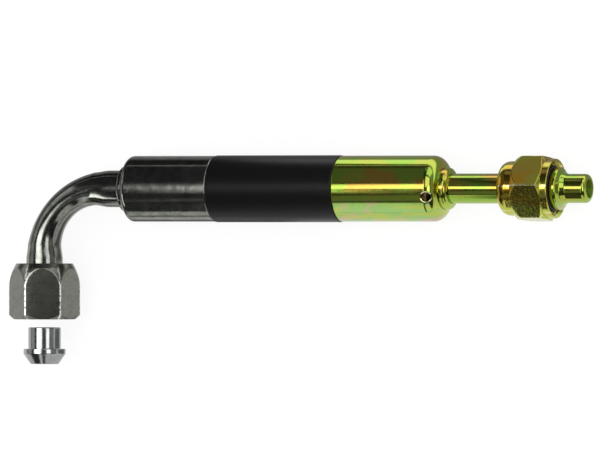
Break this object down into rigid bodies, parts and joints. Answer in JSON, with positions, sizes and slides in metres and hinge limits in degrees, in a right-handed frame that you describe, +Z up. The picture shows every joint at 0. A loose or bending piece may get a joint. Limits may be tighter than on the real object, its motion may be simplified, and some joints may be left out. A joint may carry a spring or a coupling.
{
  "type": "hydraulic hose assembly",
  "caption": "Hydraulic hose with crimped ferrules: a bent tube, swivel nut and loose sealing nipple on one end, and a straight tube, swivel nut and pilot nose on the other.",
  "frame": {"origin": "centre of the bounding box in plan, on the surface that the hose assembly lies on, which the lowest corner of the right nut touches", "axes": "+X along the hose from the bent fitting to the pilot nose, +Y away from the bent leg, whose open end points along -Y, and +Z up from the surface"},
  "size_m": [0.269, 0.0908, 0.031],
  "materials": {
    "left_plating": "bright silver plating, polished",
    "nut_plating": "bright silver plating, turned and polished",
    "nipple_steel": "bright turned steel",
    "yellow_zinc": "yellow chromate over zinc, glossy, olive to gold",
    "rubber": "matt black cover with a fine fabric imprint",
    "liner_rubber": "smooth black",
    "seal_rubber": "smooth black",
    "wire": "brass-coated steel wire"
  },
  "bodies": {
    "elbow_end": {"elbow_tube": "left_plating", "left_stem": "left_plating", "left_ferrule": "left_plating", "end_collar": "nipple_steel", "left_thrust_ring": "nipple_steel", "hose_liner": "liner_rubber", "wire_layer_1": "wire", "wire_layer_2": "wire", "wire_layer_3": "wire", "wire_layer_4": "wire", "hose_cover": "rubber"},
    "straight_end": {"right_ferrule": "yellow_zinc", "right_stem": "yellow_zinc", "right_tube": "yellow_zinc", "right_pilot": "yellow_zinc", "seal_ring": "seal_rubber", "right_thrust_ring": "yellow_zinc"},
    "left_nut": {"left_nut": "nut_plating"},
    "nipple": {"sealing_nipple": "nipple_steel"},
    "right_nut": {"right_nut": "yellow_zinc"}
  },
  "joints": [
    {"name": "left_nut_spin", "type": "hinge", "parent": "elbow_end", "child": "left_nut", "pos_m": [-0.11978, -0.0194, 0.01551], "axis": [0, -1, 0], "continuous": true},
    {"name": "nipple_slide", "type": "slide", "parent": "elbow_end", "child": "nipple", "axis": [0, 1, 0], "range_m": [-0.06, 0.0253]},
    {"name": "hose_flex", "type": "hinge", "parent": "elbow_end", "child": "straight_end", "pos_m": [-0.00933, 0.0309, 0.01551], "axis": [0, 0, 1], "range_deg": [-12, 12], "stiffness_Nm_per_rad": 30, "deforming": ["hose_liner", "wire_layer_1", "wire_layer_2", "wire_layer_3", "wire_layer_4", "hose_cover"]},
    {"name": "right_nut_spin", "type": "hinge", "parent": "straight_end", "child": "right_nut", "pos_m": [0.11382, 0.0309, 0.01551], "axis": [1, 0, 0], "continuous": true}
  ]
}
